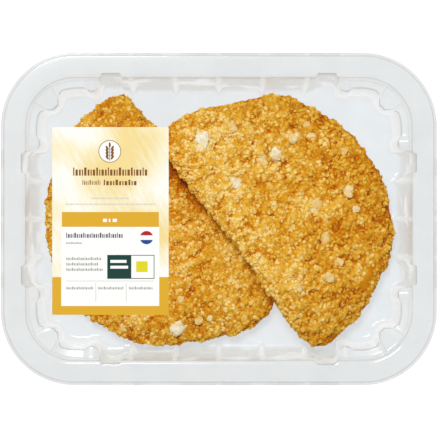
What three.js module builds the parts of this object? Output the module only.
// A sealed tray of breaded schnitzels: a clear thermoformed tray, two crumbed cutlets with one lying partly
// over the other, a lidding film sealed to the rim, and a paper label stuck on the film.
// Millimetres, +Z up. The origin is the middle of the tray's underside; X runs along the long side.
import * as THREE from "three";

// ---- driving dimensions ----
const trayLength = 227;
const trayWidth = 173;
const trayHeight = 40;
const cornerRadius = 38.5;
const sheetThickness = 0.6;
const lipWidth = 1.6; // the rim's outer edge slopes down over this width
const lipDrop = 2.4;
const sealWidth = 11.6; // from the outer edge to the end of the flat rim
const wallInset = 13.4; // from the outer edge to the top of the wall
const wallTopDrop = 1.2;
const wallDraft = 0.07; // inward slope of every wall, per millimetre of depth
const footHeight = 3.2; // where the wall starts to round into the floor
const footRound = 1.8;

const shelfDrop = 9; // the stacking shelf round each corner, below the rim
const shelfFall = 0.5; // the shelf slopes down this much to its nose
const shelfInset = 18.4;
const shelfReach = 12.7; // how far the shelf runs on past the corner's arc
const endLugLength = 8.8;
const endLugOut = 1.8;
const endLugRise = 3;
const cornerLugOut = 4.7;
const cornerLugRise = 4;
const pocketLength = 12.2;
const pocketDepth = 1.6;
const pocketSealCut = 0.5; // the flat rim is this much narrower over a pocket
const longRibPitch = 23;
const shortRibPitch = 20.2;
const ribWidth = 5;
const ribDepth = 2.2;
const ribTopDepth = 0.8;

const filmInset = 2.2;
const filmThickness = 0.25;
const labelWidth = 60.5;
const labelLength = 97.5;
const labelThickness = 0.2;
const labelRadius = 1.2;
const labelX = -56.3;
const labelY = -1;

const cutletThickness = 12.5;
const cutletEdgeShare = 0.44; // the share of the thickness that lies below the outline's own level
const edgeSharpness = 6; // the power of the rolled edge's curve: higher is squarer
const longWave = 0.55; // the upper side's gentle lumps
const shortWave = 0.35;
const restGap = 0.3;
const overlapRise = 11.6; // how high the front cutlet's near edge is carried by the one under it

// Corners of each cutlet's outline, seen from above, anticlockwise.
const backOutline = [
  [-51, 67], [-65, 61], [-77, 50], [-86, 35], [-92.5, 15], [-93.5, 0], [-91.5, -18], [-84, -36],
  [-70, -53], [-48, -65], [-31, -68], [-14, -66.5], [3, -63.5], [19, -58], [28, -50], [31, -40],
  [28, -23], [17, -4], [2, 15], [-12, 30], [-25, 42], [-35, 50], [-43, 60],
];
const frontOutline = [
  [33, 67], [17, 65], [4, 61.5], [-15, 57], [-27, 50], [-31, 41], [-25, 29], [-15, 15.5], [5, -10],
  [17, -25], [30, -46.5], [40, -60], [49, -68], [56, -69], [66, -61], [78, -49], [84, -37],
  [91, -24], [94, -9], [92, 7], [88, 22], [80, 35], [69, 47], [56, 57], [43, 64],
];
// The front cutlet's edge on the other one: a point on it, and the way it runs.
const overlapPoint = new THREE.Vector2(-25, 29);
const overlapAlong = new THREE.Vector2(0.586, -0.81);
const overlapAcross = new THREE.Vector2(0.81, 0.586);
const overlapRamp = 58; // the front cutlet comes down to the floor over this distance
const tipStart = 84; // and its tip droops past the other one's end, between these
const tipEnd = 138;

const halfLong = trayLength / 2 - cornerRadius;
const halfShort = trayWidth / 2 - cornerRadius;
const arcLength = (cornerRadius * Math.PI) / 2;
const quarterLength = halfShort + arcLength + halfLong;
const arcEnd = halfShort + arcLength;

const { clamp, lerp, smoothstep } = THREE.MathUtils;

// ---- solids from rings ----
// Joins rings of equally many points into one closed body. The first ring is closed by a fan round topCentre,
// the last by one round bottomCentre, and rings run anticlockwise seen from above.
function loft(rings, topCentre, bottomCentre) {
  const size = rings[0].length;
  const points = [...rings.flat(), topCentre, bottomCentre];
  const top = points.length - 2;
  const bottom = points.length - 1;
  const last = (rings.length - 1) * size;
  const index = [];
  for (let i = 0; i < size; i++) {
    const next = (i + 1) % size;
    index.push(top, i, next);
    index.push(bottom, last + next, last + i);
    for (let ring = 0; ring + 1 < rings.length; ring++) {
      const a = ring * size;
      const b = a + size;
      index.push(a + i, b + i, b + next, a + i, b + next, a + next);
    }
  }
  const geometry = new THREE.BufferGeometry().setFromPoints(points);
  geometry.setIndex(index);
  geometry.computeVertexNormals();
  return geometry;
}

// ---- tray ----
// How far along the feature from start to end the point s is: 0 outside, 1 between its two ramps.
function bump(s, [start, end, ramp]) {
  return clamp(Math.min(s - start, end - s) / ramp, 0, 1);
}

// Where each feature lies along a quarter of the rim, which runs from the middle of the short side, round the
// corner, to the middle of the long side: [start, end, length of its ramp].
const shelves = [[halfShort - shelfReach, arcEnd + shelfReach, 0.8]];
const endLugs = [
  [halfShort - shelfReach, halfShort - shelfReach + endLugLength, 1.5],
  [arcEnd + shelfReach - endLugLength, arcEnd + shelfReach, 1.5],
];
const cornerLugs = [[halfShort + 0.22 * arcLength, halfShort + 0.78 * arcLength, 5]];
const pockets = [
  [halfShort - shelfReach - pocketLength, halfShort - shelfReach, 1],
  [arcEnd + shelfReach, arcEnd + shelfReach + pocketLength, 1],
];
const ribMiddles = [
  0,
  shortRibPitch,
  quarterLength,
  quarterLength - longRibPitch,
  quarterLength - 2 * longRibPitch,
];
const ribs = ribMiddles.map((s) => [s - ribWidth / 2, s + ribWidth / 2, ribWidth / 2]);

// The tray's measures at the point s of the quarter.
function featuresAt(s) {
  const most = (kind) => Math.max(...kind.map((part) => bump(s, part)));
  return {
    shelf: most(shelves),
    endLug: most(endLugs),
    cornerLug: most(cornerLugs),
    pocket: most(pockets),
    rib: most(ribs),
  };
}

// The rim's outer edge at s, with the direction straight inwards from it.
function rimAt(s) {
  if (s <= halfShort) return { x: trayLength / 2, y: s, inX: -1, inY: 0 };
  if (s < arcEnd) {
    const angle = (s - halfShort) / cornerRadius;
    const cos = Math.cos(angle);
    const sin = Math.sin(angle);
    return { x: halfLong + cornerRadius * cos, y: halfShort + cornerRadius * sin, inX: -cos, inY: -sin };
  }
  return { x: quarterLength - s, y: trayWidth / 2, inX: 0, inY: -1 };
}

// The whole rim as stations: every place where a feature starts, ends or turns, and steps round the corners.
function rimStations() {
  const arcSteps = 8;
  const stops = [0, quarterLength];
  for (let i = 0; i <= arcSteps; i++) stops.push(halfShort + (arcLength * i) / arcSteps);
  for (const [start, end, ramp] of [shelves, endLugs, cornerLugs, pockets, ribs].flat())
    stops.push(start, start + ramp, end - ramp, end);
  const sorted = stops.filter((s) => s >= 0 && s <= quarterLength).sort((a, b) => a - b);
  const kept = sorted.filter((s, i) => i === 0 || s - sorted[i - 1] > 0.05);
  const quarter = kept.map((s) => ({ ...rimAt(s), ...featuresAt(s) }));
  const turned = (flipX, flipY) =>
    quarter.map((p) => ({ ...p, x: p.x * flipX, y: p.y * flipY, inX: p.inX * flipX, inY: p.inY * flipY }));
  const loop = [
    ...turned(1, 1).slice(0, -1),
    ...turned(-1, 1).reverse().slice(0, -1),
    ...turned(-1, -1).slice(0, -1),
    ...turned(1, -1).reverse().slice(0, -1),
  ];
  return loop;
}

// The tray's section at a station, as [inset, height] pairs: from the floor up its inner side and over the rim,
// then the same corners moved out by about the sheet's thickness, back down to the underside.
function traySection(f) {
  const wallTop = trayHeight - wallTopDrop;
  const wallAt = (z) => wallInset - pocketDepth * f.pocket + wallDraft * (wallTop - z);
  const shelfHeight = trayHeight - shelfDrop + endLugRise * f.endLug + cornerLugRise * f.cornerLug;
  const noseHeight = shelfHeight - shelfFall;
  const noseInset = shelfInset + endLugOut * f.endLug + cornerLugOut * f.cornerLug;
  const shelfFoot = noseInset + wallDraft * (noseHeight - footHeight);
  const foot = lerp(wallAt(footHeight), shelfFoot, f.shelf) + ribDepth * f.rib;
  const t = sheetThickness;
  const inner = {
    floor: [foot + footRound, t],
    foot: [foot, footHeight],
    nose: [lerp(wallAt(noseHeight), noseInset, f.shelf) + ribTopDepth * f.rib, noseHeight],
    root: [wallAt(shelfHeight) + 0.5 * ribTopDepth * f.rib, shelfHeight],
    wall: [wallAt(wallTop), wallTop],
    seal: [sealWidth - pocketSealCut * f.pocket, trayHeight],
    crease: [lipWidth, trayHeight],
    edge: [0, trayHeight - lipDrop],
  };
  const outer = {
    edge: [0.9 * t, inner.edge[1] - 0.5 * t],
    crease: [lipWidth + 0.6 * t, trayHeight - t],
    seal: [inner.seal[0] - 0.5 * t, trayHeight - t],
    wall: [inner.wall[0] - t, wallTop - 0.7 * t],
    root: [inner.root[0] - t, shelfHeight - t],
    nose: [inner.nose[0] - t, noseHeight - t],
    foot: [inner.foot[0] - t, footHeight - 0.5 * t],
    floor: [inner.floor[0] - 0.6 * t, 0],
  };
  return [...Object.values(inner), ...Object.values(outer)];
}

function trayGeometry() {
  const stations = rimStations();
  const sections = stations.map(traySection);
  const rings = sections[0].map((_, level) =>
    stations.map((p, i) => {
      const [inset, height] = sections[i][level];
      return new THREE.Vector3(p.x + p.inX * inset, p.y + p.inY * inset, height);
    }),
  );
  return loft(rings, new THREE.Vector3(0, 0, sheetThickness), new THREE.Vector3(0, 0, 0));
}

// ---- film and label ----
function roundedPlate(length, width, radius, thickness, curveSegments) {
  const x = length / 2 - radius;
  const y = width / 2 - radius;
  const shape = new THREE.Shape()
    .absarc(x, y, radius, 0, Math.PI / 2)
    .absarc(-x, y, radius, Math.PI / 2, Math.PI)
    .absarc(-x, -y, radius, Math.PI, 1.5 * Math.PI)
    .absarc(x, -y, radius, 1.5 * Math.PI, 2 * Math.PI);
  return new THREE.ExtrudeGeometry(shape, { depth: thickness, bevelEnabled: false, curveSegments });
}

// ---- cutlets ----
// How far the front cutlet's underside is lifted off the floor at x, y.
function frontLift(x, y) {
  const from = new THREE.Vector2(x, y).sub(overlapPoint);
  const across = smoothstep(from.dot(overlapAcross), 0, overlapRamp);
  const along = smoothstep(from.dot(overlapAlong), tipStart, tipEnd);
  return overlapRise * (1 - across) * (1 - along);
}

function flatLift() {
  return 0;
}

// A crumbed cutlet: a slab with rolled edges inside its outline, laid over whatever lift says is under it.
// Its lumps lie where phase puts them.
function cutletGeometry(outline, lift, phase) {
  const around = 60;
  const curve = new THREE.CatmullRomCurve3(
    outline.map(([x, y]) => new THREE.Vector3(x, y, 0)),
    true,
    "centripetal",
  );
  const rim = curve.getSpacedPoints(around).slice(0, around);
  const centre = rim.reduce((sum, p) => sum.add(p), new THREE.Vector3()).divideScalar(around);
  const floor = sheetThickness + restGap;
  const edgeHeight = cutletEdgeShare * cutletThickness;
  // The surface at a share of the way from the centre to the outline, above or below the rolled edge.
  const surface = (share, rimPoint, upper) => {
    const { x, y } = new THREE.Vector3().lerpVectors(centre, rimPoint, share);
    const roll = Math.sqrt(1 - share ** edgeSharpness);
    const swell = Math.sin(x / 13 + phase) * Math.cos(y / 15 - phase);
    const wave = longWave * swell + shortWave * Math.sin((x + y) / 8);
    const above = (cutletThickness - edgeHeight) * roll + wave * (1 - share ** 4);
    const z = floor + lift(x, y) + edgeHeight + (upper ? above : -edgeHeight * roll);
    return new THREE.Vector3(x, y, z);
  };
  const upperShares = [0.2, 0.42, 0.62, 0.78, 0.89, 0.955, 0.988];
  const lowerShares = [0.985, 0.94, 0.84, 0.6, 0.3];
  const rings = [
    ...upperShares.map((share) => rim.map((p) => surface(share, p, true))),
    rim.map((p) => surface(1, p, true)),
    ...lowerShares.map((share) => rim.map((p) => surface(share, p, false))),
  ];
  return loft(rings, surface(0, centre, true), surface(0, centre, false));
}

// ---- the pack ----
const clearPlastic = new THREE.MeshStandardMaterial({
  color: "#e4eaec",
  roughness: 0.15,
  metalness: 0,
  transparent: true,
  opacity: 0.4,
});
const clearFilm = new THREE.MeshStandardMaterial({
  color: "#f4f8fa",
  roughness: 0.05,
  metalness: 0,
  transparent: true,
  opacity: 0.1,
});
const paper = new THREE.MeshStandardMaterial({ color: "#f8f2dc", roughness: 0.6, metalness: 0 });
const crumbs = new THREE.MeshStandardMaterial({ color: "#d9982f", roughness: 0.85, metalness: 0 });

function piece(name, geometry, material, x = 0, y = 0, z = 0) {
  const mesh = new THREE.Mesh(geometry, material);
  mesh.name = name;
  mesh.position.set(x, y, z);
  return mesh;
}

const pack = new THREE.Group();
pack.add(piece("tray", trayGeometry(), clearPlastic));
pack.add(piece("schnitzel_back", cutletGeometry(backOutline, flatLift, 0.4), crumbs));
pack.add(piece("schnitzel_front", cutletGeometry(frontOutline, frontLift, 2.1), crumbs));
pack.add(
  piece(
    "film",
    roundedPlate(
      trayLength - 2 * filmInset,
      trayWidth - 2 * filmInset,
      cornerRadius - filmInset,
      filmThickness,
      12,
    ),
    clearFilm,
    0,
    0,
    trayHeight,
  ),
);
pack.add(
  piece(
    "label",
    roundedPlate(labelWidth, labelLength, labelRadius, labelThickness, 4),
    paper,
    labelX,
    labelY,
    trayHeight + filmThickness,
  ),
);

export default pack;
